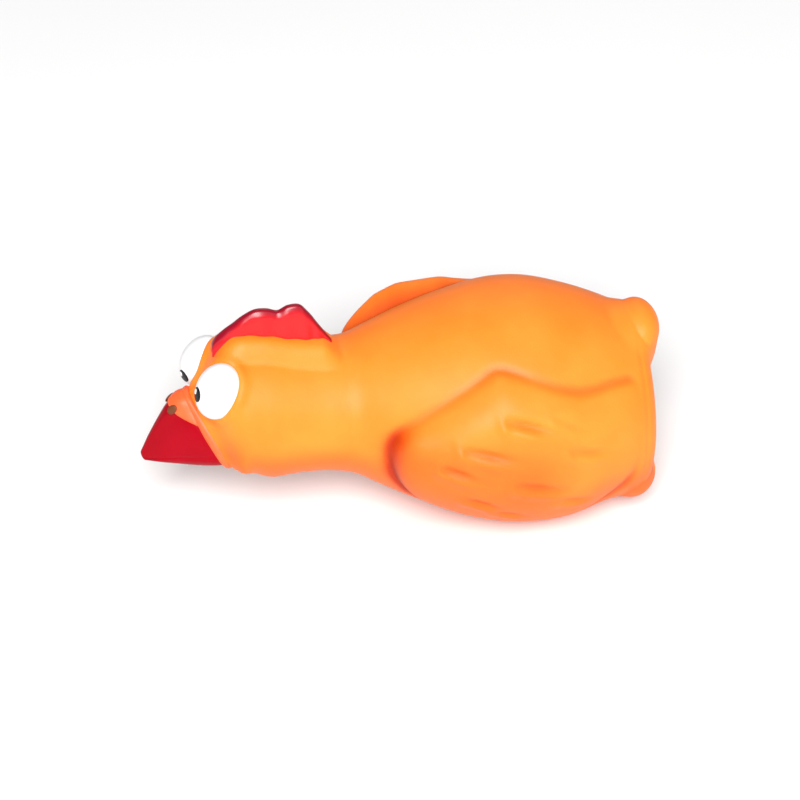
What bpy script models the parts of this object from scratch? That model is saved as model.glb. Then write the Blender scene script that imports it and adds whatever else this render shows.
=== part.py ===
"""Hollow moulded rubber chicken with a push-in squeaker, lying on its belly.

Metres, +Z up. The beak points along -X, the flat rear end faces +X, and the chicken is
symmetric about the XZ plane. The origin is on the resting surface, under the middle of
its length and width. The one-piece moulding is modelled as the regions that move
separately (torso, neck, head, two squeezable sides) and as its painted or raised
features; the squeaker in the rear end is made of real loose pieces.
"""

import math

import bmesh
import bpy
import numpy as np
from mathutils import Matrix, Vector

MM = 0.001

# Driving dimensions, in millimetres.
GAP = 0.3
TORSO_WALL = 2.6
HEAD_WALL = 1.5
SHARP_DEGREES = 40.0

# Points round each kind of ring, and steps along each stretch of the body.
RING_SIDES = 36
BEAK_SIDES = 28
TURNED_SIDES = 32
SPOT_SIDES = 20
EGG_SIDES = 24
TORSO_STEPS = 14
TORSO_INNER_STEPS = 12
NECK_STEPS = 4
HEAD_STEPS = 12
HEAD_INNER_STEPS = 8
CROWN_STEPS = 60
COMB_FOOT_STEPS = 10
OUTLINE_STEPS = 3

# Body sections from the rear end to the face:
# (spine x, spine z, forward lean in degrees, half height, half width).
SECTIONS = [
    (81.3, 35.1, 0, 27.5, 27.5),
    (80.2, 35.2, 0, 30.3, 30.3),
    (77.0, 35.5, 0, 32.2, 32.2),
    (66.0, 37.4, 0, 35.9, 35.9),
    (55.0, 37.9, 0, 39.6, 39.6),
    (45.0, 39.0, 0, 41.3, 41.3),
    (35.0, 39.8, 0, 41.3, 41.3),
    (18.0, 40.7, 0, 37.8, 37.8),
    (3.0, 42.0, 0, 32.5, 32.5),
    (-10.0, 43.2, 0, 26.7, 26.7),
    (-17.0, 44.0, 0, 23.5, 23.5),
    (-26.0, 45.2, 0, 22.5, 22.5),
    (-36.0, 46.1, 0, 23.1, 22.6),
    (-46.0, 46.9, 3, 24.8, 22.8),
    (-54.0, 47.9, 11, 24.1, 22.4),
    (-59.5, 47.6, 17, 21.2, 20.6),
    (-62.9, 46.5, 22, 16.8, 17.4),
    (-66.4, 45.0, 29, 12.8, 14.8),
]
REAR_X = SECTIONS[0][0]
FACE_X = SECTIONS[-1][0]
TORSO_END_X = 77.0
REAR_EDGE_STOPS = [79.0, 80.2]
NECK_REAR_X = -9.0
NECK_FRONT_X = -25.0
NECK_JOINT_X = 0.5 * (NECK_REAR_X + NECK_FRONT_X)

# Outline of the squeezable side panel in the XZ plane.
PANEL_OUTLINE = [
    (-2, 43), (0, 31), (7, 22), (21, 15), (45, 13), (61, 18), (69, 30),
    (72, 44), (69, 54), (57, 59), (42, 61), (29, 65), (15, 62), (4, 54),
]
PANEL_REACH = (12.0, 60.0)
WING_INSET = 2.0
WING_RELIEF_FRONT = 8.0
WING_RELIEF_REAR = 1.8
WING_TAPER = (5.0, 52.0)

# Crest of the comb in the XZ plane, front to back; its foot follows the crown.
COMB_CREST = [
    (-64.0, 73.0), (-60.0, 76.4), (-55.5, 79.2), (-51.5, 82.4), (-47.5, 84.4), (-43.5, 84.0),
    (-40.6, 82.6), (-37.5, 84.6), (-33.6, 84.8), (-30.2, 81.4), (-26.8, 76.2), (-23.4, 71.2),
]
COMB_THICKNESS = 6.0
COMB_ROUNDING = 0.8
COMB_ROUNDING_SEGMENTS = 2

# Beak sections from the face to the tip: (top x, top z, bottom x, bottom z, half width).
BEAK_SECTIONS = [
    (-74.2, 55.6, -61.4, 33.8, 14.4),
    (-79.4, 53.2, -68.8, 31.9, 12.6),
    (-83.2, 45.8, -75.7, 31.0, 9.2),
    (-86.0, 37.4, -82.0, 30.4, 5.2),
    (-87.4, 33.0, -86.3, 30.7, 1.8),
]
BEAK_SHIFT = (-1.5 * GAP, 0.0, -0.5 * GAP)
MOUTH_TIP = (-87.4, 32.0)
MOUTH_CORNER = (-62.0, 37.6)

EYE_CENTRE = (-64.6, 12.4, 61.2)
EYE_NORMAL = (-0.66, 0.64, 0.40)
EYE_LONG_AXIS = (0.45, 0.16, 0.88)
EYE_AXES = (8.4, 10.4, 7.8)
PUPIL_AIM = (-72.0, 7.0, 58.8)
PUPIL_RADIUS = 2.0
NOSTRIL_RADIUS = 1.3
SPOT_THICKNESS = 0.5
SPOT_TAPER = 0.85
# How far along the beak's second stretch a nostril starts, and the step that gives its slope.
NOSTRIL_SHARE = 0.12
NOSTRIL_STEP = 0.3

TAIL_CENTRE = (76.5, 0.0, 65.0)
TAIL_AXES = (11.0, 10.5, 8.6)
FOOT_CENTRE = (75.5, 15.0, 14.5)
FOOT_AXES = (9.5, 8.5, 10.5)

SQUEAKER_RADIUS = 12.0
SQUEAKER_DEPTH = 10.0
SQUEAKER_RIM = 2.0
SQUEAKER_LEDGE = 1.5
AIR_HOLE_RADIUS = 2.2
CAP_THICKNESS = 1.6
CAP_DEPTH = 0.5
REED_TUBE_RADIUS = 3.6
REED_TUBE_WALL = 0.9
REED_TUBE_LENGTH = 12.0
# The reed tube's wall runs between these angles and is open above, under the reed.
REED_TUBE_DEGREES = (-236.0, 56.0)
REED_TUBE_SIDES = 14
REED_ROOT_DEPTH = 0.6
REED_SIZE = (10.0, 3.4, 0.4)

ORANGE = (0.98, 0.35, 0.045)
COMB_RED = (0.90, 0.045, 0.045)
BEAK_RED = (0.62, 0.0, 0.02)
EYE_WHITE = (0.93, 0.93, 0.92)
BLACK = (0.01, 0.01, 0.01)
BROWN = (0.25, 0.09, 0.03)
CLEAR_PLASTIC = (0.86, 0.84, 0.78)
BRASS = (0.72, 0.52, 0.22)


def clear_scene():
    for item in list(bpy.data.objects):
        bpy.data.objects.remove(item, do_unlink=True)


def material(name, colour, roughness, metallic=0.0):
    made = bpy.data.materials.new(name)
    made.use_nodes = True
    shader = made.node_tree.nodes["Principled BSDF"]
    shader.inputs["Base Color"].default_value = (*colour, 1.0)
    shader.inputs["Roughness"].default_value = roughness
    shader.inputs["Metallic"].default_value = metallic
    return made


def add_object(name, bm, mat=None):
    """Turns a bmesh in millimetres into a named object in metres."""
    bmesh.ops.recalc_face_normals(bm, faces=bm.faces)
    bmesh.ops.scale(bm, vec=(MM, MM, MM), verts=bm.verts)
    mesh = bpy.data.meshes.new(name)
    bm.to_mesh(mesh)
    bm.free()
    mesh.shade_smooth()
    mesh.set_sharp_from_angle(angle=math.radians(SHARP_DEGREES))
    made = bpy.data.objects.new(name, mesh)
    bpy.context.scene.collection.objects.link(made)
    if mat:
        made.data.materials.append(mat)
    return made


def set_origin(made, point):
    """Moves an object's origin to a point in millimetres, leaving its shape in place."""
    offset = Vector(point) * MM
    made.data.transform(Matrix.Translation(-offset))
    made.location = offset


def as_cutter(made):
    made.hide_render = True
    made.display_type = "WIRE"
    return made


def boolean(made, cutter, operation):
    step = made.modifiers.new(operation.title(), "BOOLEAN")
    step.object = cutter
    step.operation = operation
    step.solver = "EXACT"


def hermite(x, xs, ys):
    """Smooth curve through the points (xs, ys), with xs falling."""
    rising = -np.array(xs, dtype=float)
    values = np.array(ys, dtype=float)
    slopes = np.gradient(values, rising)
    k = int(np.clip(np.searchsorted(rising, -x) - 1, 0, len(rising) - 2))
    span = rising[k + 1] - rising[k]
    t = (-x - rising[k]) / span
    start = (1 + 2 * t) * (1 - t) ** 2 * values[k] + t * (1 - t) ** 2 * span * slopes[k]
    end = t * t * (3 - 2 * t) * values[k + 1] + t * t * (t - 1) * span * slopes[k + 1]
    return float(start + end)


def section(x):
    """Spine height, lean in radians, half height and half width of the body at a spine x."""
    xs = [row[0] for row in SECTIONS]
    z, lean, high, wide = (hermite(x, xs, [row[i] for row in SECTIONS]) for i in range(1, 5))
    return z, math.radians(lean), high, wide


def ring(x, offset=0.0, radius=None, floor=0.0):
    """One cross-section of the body, offset outwards from its surface and flat at the floor."""
    z, lean, high, wide = section(x)
    if radius is not None:
        high = wide = radius
        offset = 0.0
    points = []
    for k in range(RING_SIDES):
        angle = math.tau * k / RING_SIDES
        up = (high + offset) * math.cos(angle)
        side = (wide + offset) * math.sin(angle)
        points.append((x - math.sin(lean) * up, side, max(z + math.cos(lean) * up, floor)))
    return points


def loft(rings, closed=False):
    """Skins a list of equal rings; closed joins the last to the first, else both ends are capped."""
    bm = bmesh.new()
    rows = [[bm.verts.new(point) for point in points] for points in rings]
    pairs = list(zip(rows, rows[1:]))
    if closed:
        pairs.append((rows[-1], rows[0]))
    for first, second in pairs:
        for k in range(len(first)):
            j = (k + 1) % len(first)
            bm.faces.new((first[k], first[j], second[j], second[k]))
    if not closed:
        bm.faces.new(rows[0])
        bm.faces.new(rows[-1])
    return bm


def stops(start, end, count):
    return [start + (end - start) * k / count for k in range(count + 1)]


def smooth_outline(points):
    """Closed Catmull-Rom curve through outline points."""
    made = []
    count = len(points)
    for k in range(count):
        a, b, c, d = (np.array(points[(k + i - 1) % count], dtype=float) for i in range(4))
        for n in range(OUTLINE_STEPS):
            t = n / OUTLINE_STEPS
            made.append(
                0.5 * (2 * b + (c - a) * t + (2 * a - 5 * b + 4 * c - d) * t**2
                       + (3 * b - a - 3 * c + d) * t**3)
            )
    return made


def inset_outline(points, distance):
    """Moves each point of an anticlockwise or clockwise outline inwards by a distance."""
    centre = np.mean(points, axis=0)
    made = []
    for k, point in enumerate(points):
        along = points[(k + 1) % len(points)] - points[k - 1]
        normal = np.array((along[1], -along[0])) / np.linalg.norm(along)
        if np.dot(normal, centre - point) < 0:
            normal = -normal
        made.append(point + normal * distance)
    return made


def side_prism(outline, side):
    """A bar with the given XZ outline that runs outwards from near the middle on one side."""
    return loft([[(p[0], side * y, p[1]) for p in outline] for y in PANEL_REACH])


def body_solid(spine_stops, offset):
    """The closed outer shape of a stretch of the body, grown by an offset."""
    rings = [ring(x, offset, floor=-offset) for x in spine_stops]
    grow = math.copysign(offset, spine_stops[-1] - spine_stops[0])
    rings.append([(x + grow, y, z) for x, y, z in rings[-1]])
    return loft(rings)


def torso_stops():
    return stops(NECK_REAR_X, TORSO_END_X, TORSO_STEPS) + REAR_EDGE_STOPS + [REAR_X]


def head_stops():
    return stops(NECK_FRONT_X - GAP, FACE_X, HEAD_STEPS)


def inner_rings(offset):
    back = stops(TORSO_END_X, NECK_REAR_X, TORSO_INNER_STEPS)
    return [ring(x, -offset, floor=offset) for x in back]


def make_torso(mat):
    """The skin, out over the body, round the rear end to its hole, and back inside."""
    hole = SQUEAKER_RADIUS + GAP
    rear = [ring(REAR_X, radius=hole), ring(REAR_X - TORSO_WALL, radius=hole)]
    rings = [ring(x) for x in torso_stops()] + rear + inner_rings(TORSO_WALL)
    torso = add_object("torso_skin", loft(rings, closed=True), mat)
    for side, word in ((-1, "left"), (1, "right")):
        cutter = add_object("side_cut_" + word, side_prism(smooth_outline(PANEL_OUTLINE), side))
        boolean(torso, as_cutter(cutter), "DIFFERENCE")


def wing_relief(x):
    """How far the wing stands off the body: its shoulder is thick and its rear end thin."""
    share = np.clip((x - WING_TAPER[0]) / (WING_TAPER[1] - WING_TAPER[0]), 0.0, 1.0)
    return WING_RELIEF_FRONT + (WING_RELIEF_REAR - WING_RELIEF_FRONT) * float(share)


def make_side(side, word, mat):
    """A squeezable flank panel and the wing raised on it."""
    panel_outline = inset_outline(smooth_outline(PANEL_OUTLINE), GAP)
    wing_outline = inset_outline(smooth_outline(PANEL_OUTLINE), WING_INSET)
    along = stops(NECK_REAR_X, TORSO_END_X, TORSO_STEPS)
    back = stops(TORSO_END_X, NECK_REAR_X, TORSO_STEPS)
    outer = [ring(x) for x in along]
    panel = add_object(word + "_flank", loft(outer + inner_rings(TORSO_WALL), closed=True), mat)
    cutter = add_object("flank_cut_" + word, side_prism(panel_outline, side))
    boolean(panel, as_cutter(cutter), "INTERSECT")
    low = [ring(x, GAP, floor=-GAP) for x in back]
    high = [ring(x, GAP + wing_relief(x)) for x in along]
    wing = add_object(word + "_wing", loft(high + low, closed=True), mat)
    cutter = add_object("wing_cut_" + word, side_prism(wing_outline, side))
    boolean(wing, as_cutter(cutter), "INTERSECT")


def make_neck(mat):
    front, rear = NECK_FRONT_X, NECK_REAR_X - GAP
    rings = [ring(x) for x in stops(rear, front, NECK_STEPS)]
    rings += [ring(x, -HEAD_WALL) for x in stops(front, rear, NECK_STEPS)]
    neck = add_object("neck_skin", loft(rings, closed=True), mat)
    set_origin(neck, (NECK_JOINT_X, 0, section(NECK_JOINT_X)[0]))


def make_head(mat):
    rings = [ring(x) for x in reversed(head_stops())]
    inside = stops(NECK_FRONT_X - GAP, FACE_X + HEAD_WALL, HEAD_INNER_STEPS)
    rings += [ring(x, -HEAD_WALL) for x in inside]
    head = add_object("head_skin", loft(rings), mat)
    set_origin(head, (NECK_JOINT_X, 0, section(NECK_JOINT_X)[0]))


def crown(x):
    """Height of the top of the head over a point of the X axis."""
    tops = []
    for s in stops(FACE_X, NECK_REAR_X, CROWN_STEPS):
        z, lean, high, _ = section(s)
        tops.append((s - math.sin(lean) * high, z + math.cos(lean) * high))
    tops.sort()
    return float(np.interp(x, [p[0] for p in tops], [p[1] for p in tops]))


def make_comb(mat):
    along = stops(COMB_CREST[-1][0], COMB_CREST[0][0], COMB_FOOT_STEPS)
    foot = [(x, crown(x) + GAP) for x in along]
    outline = COMB_CREST + foot[1:-1]
    half = COMB_THICKNESS / 2
    comb = add_object("comb", loft([[(x, y, z) for x, z in outline] for y in (-half, half)]), mat)
    rounding = comb.modifiers.new("Bevel", "BEVEL")
    rounding.width = COMB_ROUNDING * MM
    rounding.segments = COMB_ROUNDING_SEGMENTS
    rounding.limit_method = "ANGLE"


def beak_ring(row):
    """One cross-section of the beak, from the top round."""
    top_x, top_z, low_x, low_z, wide = row
    centre = Vector(((top_x + low_x) / 2, 0, (top_z + low_z) / 2))
    up = Vector((top_x, 0, top_z)) - centre
    points = []
    for k in range(BEAK_SIDES):
        angle = math.tau * k / BEAK_SIDES
        points.append(centre + up * math.cos(angle) + Vector((0, wide * math.sin(angle), 0)))
    return points


def make_beak(name, mat, upper):
    """One half of the beak, cut from the whole along the mouth plane."""
    bm = loft([beak_ring(row) for row in BEAK_SECTIONS])
    bmesh.ops.translate(bm, verts=bm.verts, vec=BEAK_SHIFT)
    along = Vector((MOUTH_CORNER[0] - MOUTH_TIP[0], 0, MOUTH_CORNER[1] - MOUTH_TIP[1]))
    normal = Vector((-along.z, 0, along.x)).normalized()
    side = 1 if upper else -1
    point = Vector((MOUTH_TIP[0], 0, MOUTH_TIP[1])) + normal * side * GAP / 2
    cut = bmesh.ops.bisect_plane(
        bm, geom=bm.verts[:] + bm.edges[:] + bm.faces[:], dist=1e-5,
        plane_co=point, plane_no=normal, clear_inner=upper, clear_outer=not upper,
    )
    edges = [part for part in cut["geom_cut"] if isinstance(part, bmesh.types.BMEdge)]
    bmesh.ops.edgeloop_fill(bm, edges=edges)
    add_object(name, bm, mat)


def ellipsoid(axes, centre, turn=None):
    bm = bmesh.new()
    bmesh.ops.create_uvsphere(bm, u_segments=EGG_SIDES, v_segments=EGG_SIDES // 2, radius=1.0)
    place = Matrix.Translation(centre) @ (turn.to_4x4() if turn else Matrix())
    bmesh.ops.transform(bm, matrix=place @ Matrix.Diagonal((*axes, 1.0)), verts=bm.verts)
    return bm


def eye_turn(side):
    """Rotation whose Z is the way an eye looks and whose Y is its long axis."""
    look = Vector((EYE_NORMAL[0], side * EYE_NORMAL[1], EYE_NORMAL[2])).normalized()
    long_axis = Vector((EYE_LONG_AXIS[0], side * EYE_LONG_AXIS[1], EYE_LONG_AXIS[2]))
    across = long_axis.cross(look).normalized()
    return Matrix((across, look.cross(across), look)).transposed()


def make_eye(side, word, white, black, head_cutter):
    centre = Vector((EYE_CENTRE[0], side * EYE_CENTRE[1], EYE_CENTRE[2]))
    turn = eye_turn(side)
    eye = add_object(word + "_eye", ellipsoid(EYE_AXES, centre, turn), white)
    boolean(eye, head_cutter, "DIFFERENCE")
    aim = turn.transposed() @ (Vector((PUPIL_AIM[0], side * PUPIL_AIM[1], PUPIL_AIM[2])) - centre)
    scaled = Vector([aim[i] / EYE_AXES[i] for i in range(3)]).normalized()
    spot = centre + turn @ Vector([scaled[i] * EYE_AXES[i] for i in range(3)])
    normal = (turn @ Vector([scaled[i] / EYE_AXES[i] for i in range(3)])).normalized()
    add_object(word + "_pupil", disc(spot, normal, PUPIL_RADIUS), black)


def disc(spot, normal, radius, lift=GAP):
    """A thin painted spot standing a small lift off a surface point."""
    bm = bmesh.new()
    bmesh.ops.create_cone(
        bm, cap_ends=True, segments=SPOT_SIDES, radius1=radius, radius2=radius * SPOT_TAPER,
        depth=SPOT_THICKNESS,
    )
    turn = Vector((0, 0, 1)).rotation_difference(normal).to_matrix().to_4x4()
    middle = Vector(spot) + Vector(normal) * (lift + SPOT_THICKNESS / 2)
    place = Matrix.Translation(middle) @ turn
    bmesh.ops.transform(bm, matrix=place, verts=bm.verts)
    return bm


def beak_surface(side):
    """A point on the top of the beak beside the middle, and the way out of it there."""
    rings = [beak_ring(row) for row in BEAK_SECTIONS[1:3]]
    k = side % BEAK_SIDES
    j = 2 * side % BEAK_SIDES
    a = rings[0][k].lerp(rings[1][k], NOSTRIL_SHARE)
    b = rings[0][j].lerp(rings[1][j], NOSTRIL_SHARE)
    c = rings[0][k].lerp(rings[1][k], NOSTRIL_SHARE + NOSTRIL_STEP)
    normal = (b - a).cross(c - a).normalized()
    if normal.x > 0:
        normal = -normal
    return a.lerp(b, 0.5), normal


def make_nostrils(mat):
    for side, word in ((-1, "left"), (1, "right")):
        spot, normal = beak_surface(side)
        add_object(word + "_nostril", disc(spot, normal, NOSTRIL_RADIUS, 2 * GAP), mat)


def make_rear_lumps(mat, torso_cutter):
    tail = add_object("tail", ellipsoid(TAIL_AXES, TAIL_CENTRE), mat)
    boolean(tail, torso_cutter, "DIFFERENCE")
    for side, word in ((-1, "left"), (1, "right")):
        centre = (FOOT_CENTRE[0], side * FOOT_CENTRE[1], FOOT_CENTRE[2])
        foot = add_object(word + "_foot", ellipsoid(FOOT_AXES, centre), mat)
        boolean(foot, torso_cutter, "DIFFERENCE")


def turned(profile, x0, z0):
    """A ring-shaped solid of (x, radius) points turned about the squeaker's axis."""
    rings = []
    for x, radius in profile:
        turn = [math.tau * k / TURNED_SIDES for k in range(TURNED_SIDES)]
        rings.append([(x0 + x, radius * math.sin(a), z0 + radius * math.cos(a)) for a in turn])
    return loft(rings, closed=True)


def reed_tube_wall():
    """Outline across the reed tube's open wall: the outer arc, then back along the inner."""
    start, end = REED_TUBE_DEGREES
    angles = [math.radians(a) for a in stops(start, end, REED_TUBE_SIDES)]
    inner = REED_TUBE_RADIUS - REED_TUBE_WALL
    outline = [(REED_TUBE_RADIUS * math.cos(a), REED_TUBE_RADIUS * math.sin(a)) for a in angles]
    return outline + [(inner * math.cos(a), inner * math.sin(a)) for a in reversed(angles)]


def make_squeaker(plastic, metal):
    z0 = SECTIONS[0][1]
    bore = SQUEAKER_RADIUS - SQUEAKER_RIM
    seat = -CAP_THICKNESS - CAP_DEPTH
    root = seat - GAP
    housing = [
        (0.0, SQUEAKER_RADIUS), (0.0, bore), (root, bore), (root, bore - SQUEAKER_LEDGE),
        (-SQUEAKER_DEPTH, bore - SQUEAKER_LEDGE), (-SQUEAKER_DEPTH, SQUEAKER_RADIUS),
    ]
    add_object("squeaker_housing", turned(housing, REAR_X, z0), plastic)
    edge = bore - GAP
    cap = [(-CAP_DEPTH, edge), (-CAP_DEPTH, AIR_HOLE_RADIUS), (seat, AIR_HOLE_RADIUS), (seat, edge)]
    add_object("squeaker_cap", turned(cap, REAR_X, z0), plastic)
    wall = reed_tube_wall()
    tube = loft([[(REAR_X + x, y, z0 + z) for y, z in wall]
                 for x in (root, root - REED_TUBE_LENGTH)])
    add_object("reed_tube", tube, plastic)
    length, wide, thick = REED_SIZE
    rest_z = z0 + REED_TUBE_RADIUS * math.sin(math.radians(REED_TUBE_DEGREES[1])) + GAP
    hinge = Vector((REAR_X + root - REED_ROOT_DEPTH, 0, rest_z + thick / 2))
    bm = bmesh.new()
    bmesh.ops.create_cube(bm, size=1.0)
    place = Matrix.Translation(hinge - Vector((length / 2, 0, 0)))
    bmesh.ops.transform(bm, matrix=place @ Matrix.Diagonal((length, wide, thick, 1)), verts=bm.verts)
    reed = add_object("squeaker_reed", bm, metal)
    set_origin(reed, hinge)


def main():
    clear_scene()
    latex = material("orange_latex", ORANGE, 0.42)
    comb_paint = material("comb_paint", COMB_RED, 0.25)
    beak_paint = material("beak_paint", BEAK_RED, 0.22)
    white = material("eye_paint", EYE_WHITE, 0.3)
    black = material("pupil_paint", BLACK, 0.3)
    brown = material("nostril_paint", BROWN, 0.5)
    plastic = material("squeaker_plastic", CLEAR_PLASTIC, 0.35)
    metal = material("reed_brass", BRASS, 0.3, 1.0)
    torso_cutter = as_cutter(add_object("torso_outside", body_solid(torso_stops(), 2 * GAP)))
    head_cutter = as_cutter(add_object("head_outside", body_solid(head_stops(), GAP)))
    make_torso(latex)
    make_side(-1, "left", latex)
    make_side(1, "right", latex)
    make_neck(latex)
    make_head(latex)
    make_comb(comb_paint)
    make_beak("upper_beak", beak_paint, upper=True)
    make_beak("lower_beak", beak_paint, upper=False)
    make_eye(-1, "left", white, black, head_cutter)
    make_eye(1, "right", white, black, head_cutter)
    make_nostrils(brown)
    make_rear_lumps(latex, torso_cutter)
    make_squeaker(plastic, metal)


main()
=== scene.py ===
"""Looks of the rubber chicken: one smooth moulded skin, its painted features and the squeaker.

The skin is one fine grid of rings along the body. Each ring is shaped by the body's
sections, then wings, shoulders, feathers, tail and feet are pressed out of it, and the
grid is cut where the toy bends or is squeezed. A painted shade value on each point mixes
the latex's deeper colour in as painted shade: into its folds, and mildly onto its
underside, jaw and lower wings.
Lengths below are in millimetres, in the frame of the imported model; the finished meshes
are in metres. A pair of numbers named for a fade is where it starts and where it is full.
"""

import math

import bpy
import numpy as np
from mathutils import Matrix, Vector


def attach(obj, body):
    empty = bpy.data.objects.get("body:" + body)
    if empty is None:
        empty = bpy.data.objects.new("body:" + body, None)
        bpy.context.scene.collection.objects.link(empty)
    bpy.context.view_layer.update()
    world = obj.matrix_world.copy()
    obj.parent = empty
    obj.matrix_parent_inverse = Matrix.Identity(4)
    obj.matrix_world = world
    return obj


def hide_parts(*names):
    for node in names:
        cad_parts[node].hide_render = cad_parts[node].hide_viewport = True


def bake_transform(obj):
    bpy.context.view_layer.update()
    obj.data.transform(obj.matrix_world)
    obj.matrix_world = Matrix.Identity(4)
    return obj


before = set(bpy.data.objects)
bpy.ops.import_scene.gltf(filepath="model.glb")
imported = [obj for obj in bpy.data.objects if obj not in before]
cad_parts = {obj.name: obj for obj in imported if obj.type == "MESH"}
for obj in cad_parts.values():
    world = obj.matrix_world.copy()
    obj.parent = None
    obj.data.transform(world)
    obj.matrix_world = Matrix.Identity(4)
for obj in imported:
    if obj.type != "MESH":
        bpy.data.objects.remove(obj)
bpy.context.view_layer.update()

MM = 0.001

# Body sections from the rear end to the face:
# (spine x, spine z, forward lean in degrees, half height, half width).
SECTIONS = np.array([
    (81.3, 35.1, 0, 30.4, 30.4),
    (77.0, 35.5, 0, 32.3, 32.3),
    (66.0, 37.4, 0, 35.9, 35.9),
    (55.0, 37.9, 0, 39.6, 39.6),
    (45.0, 39.0, 0, 41.3, 41.3),
    (35.0, 39.8, 0, 41.3, 41.3),
    (18.0, 40.7, 0, 37.8, 37.8),
    (3.0, 42.0, 0, 32.5, 32.5),
    (-10.0, 43.2, 0, 26.7, 26.7),
    (-17.0, 44.0, 0, 23.5, 23.5),
    (-26.0, 45.2, 0, 22.5, 22.5),
    (-36.0, 46.1, 0, 23.1, 22.6),
    (-46.0, 46.9, 3, 24.8, 22.8),
    (-54.0, 47.9, 11, 24.1, 22.4),
    (-59.5, 47.6, 17, 21.2, 20.6),
    (-62.9, 46.5, 22, 16.8, 17.4),
    (-66.4, 45.0, 29, 12.8, 14.8),
])
REAR_X = 81.3
REAR_ROUND_FROM = 76.3
REAR_ROUND_DEPTH = 3.6
HOLE_RADIUS = 12.15
# Rings of the rear face: (radius, place along the spine from the rear plane).
DISC_RINGS = [
    (HOLE_RADIUS, -2.6), (HOLE_RADIUS, -1.2), (HOLE_RADIUS + 0.25, -0.55),
    (HOLE_RADIUS + 1.0, -0.1), (HOLE_RADIUS + 2.2, 0.0), (16.5, 0.0), (19.0, 0.0),
    (21.5, 0.0), (24.0, 0.0), (25.6, 0.0),
]
# Rings that close the skin behind the beak: their share of the last ring, and the depth.
FACE_CAP_SHARES = np.array([0.9, 0.7, 0.45, 0.2, 0.02])
FACE_CAP_DEPTH = 0.6
SIDES = 288
RINGS = {"rear": 14, "body": 150, "neck_rear": 20, "neck_front": 24, "head": 54}

# Where the skin is cut for the bend of the neck, along the spine.
NECK_REAR_X = -9.0
NECK_MIDDLE_X = -21.0
NECK_FRONT_X = -46.0

# Wing outlines: (spine x, degrees round from the top of the back). The right shoulder is
# drawn up towards the back; behind it the two wings match.
WING_REAR = [
    (2.5, 138), (11.0, 145), (24.0, 149), (38.0, 147), (52.0, 140), (64.0, 126), (72.0, 108),
    (76.0, 88), (77.0, 66), (74.5, 48.5), (68.0, 49.5), (60.0, 53.0), (53.0, 54.0),
    (46.0, 52.6), (39.0, 49.5), (32.5, 45.6),
]
WING_FRONTS = {
    -1: [(27.0, 43.2), (22.5, 46.5), (17.0, 51.5), (10.0, 58.0), (2.5, 66.0), (-3.6, 74),
         (-6.8, 84), (-7.6, 94), (-7.0, 105), (-5.0, 117), (-1.6, 128)],
    1: [(27.0, 41.5), (18.0, 40.0), (8.0, 40.0), (-2.0, 41.5), (-11.0, 46.0), (-16.6, 54),
        (-16.8, 64), (-13.4, 78), (-9.6, 92), (-7.4, 105), (-5.0, 117), (-1.6, 128)],
}
WING_MM_PER_DEGREE = 0.70
# Height of a wing above the body, along the spine.
WING_HEIGHTS = {
    -1: [(-10, 6.0), (0, 6.4), (12, 5.6), (24, 4.6), (36, 3.6), (48, 2.8), (60, 2.1), (78, 1.6)],
    1: [(-15, 4.8), (-9, 7.0), (-4, 8.7), (4, 8.7), (11, 6.9), (24, 4.3), (36, 3.4), (48, 2.7),
        (60, 2.1), (78, 1.6)],
}
# Fades of a wing's height, its raised front edge and its outline, by degrees and spine x.
WING_LOW_FADE = (150, 90)
WING_LEAST_HEIGHT = 0.12
WING_FRONT_FADES = {-1: (14, -8), 1: (30, 18)}
LEFT_FRONT_DEGREES = (66, 80)
OUTLINE_DEGREES_FADE = (150, 130)
OUTLINE_REAR_FADE = (76, 71)
OUTLINE_STRENGTH = ((4, 16, 24, 30, 38, 48), (0.75, 0.6, 1, 1, 0.7, 1))
# Pairs of (value along the soft edge, value along the raised front edge).
EDGE_WIDTHS = (9.5, 6.5)
OUTLINE_WIDTHS = (1.9, 1.5)
OUTLINE_DEPTHS = (0.85, 1.7)
# Painted shade in the fold along a wing's outline: its strength and width.
CREASE_STRENGTHS = (0.42, 1.0)
CREASE_WIDTHS = (1.9, 2.7)
SOFT_EDGE_WIDTH = 12.0
ROUNDED_SHARE = 0.30
SOFT_PASSES, FRONT_PASSES = 24, 3
OUTLINE_INSET, CREASE_INSET = -0.5, -0.7
# Painted shade over a wing's raised front: strength, inset and width.
FRONT_SHADE, FRONT_SHADE_INSET, FRONT_SHADE_WIDTH = 0.10, 1.0, 6.0
# Feather strokes on the wing: (spine x, degrees, half length, depth).
FEATHERS = [
    (34.5, 68.5, 7.5, 1.5), (21.5, 81.0, 8.5, 1.3), (12.0, 91.5, 6.0, 1.2),
    (38.0, 98.5, 8.0, 1.1), (55.0, 82.5, 7.0, 0.9), (20.0, 110.5, 5.5, 1.0),
    (48.0, 68.0, 5.0, 0.4), (30.0, 119.0, 6.0, 0.7), (51.0, 110.0, 6.0, 0.7),
]
FEATHER_SLANT = 1.6
FEATHER_TAPER = 1.1
# Parts of a stroke: (share of its depth, place across it, width across it).
FEATHER_GROOVE = (1.0, -0.6, 1.4)
FEATHER_RIDGE = (0.7, 2.3, 2.0)
FEATHER_TIP = (0.8, 1.0, 3.0)
FEATHER_TIP_PLACE, FEATHER_TIP_LENGTH = 1.05, 1.9
# Painted shade in the feather grooves.
FEATHER_CREASE = 0.20

# Lumps pressed out of the skin: (centre, half sizes, point inside the body).
TAIL = ((75.5, 0.0, 58.4), (11.0, 14.0, 12.8), (69.0, 0.0, 52.0))
TAIL_TIP = ((80.8, 0.0, 65.0), (6.0, 10.5, 6.9), (71.0, 0.0, 56.0))
FOOT = ((75.6, 18.2, 18.0), (8.4, 8.8, 9.6), (69.0, 11.0, 24.0))
TAIL_SOFTNESS, FOOT_SOFTNESS = 4.5, 1.8
# Painted shade in the fold where each foot meets the body.
FOOT_CREASE = 0.6
LUMP_REACH_FADE = (28, 20)
FOLD_WIDTH = 1.1
NO_HIT = -99

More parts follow.
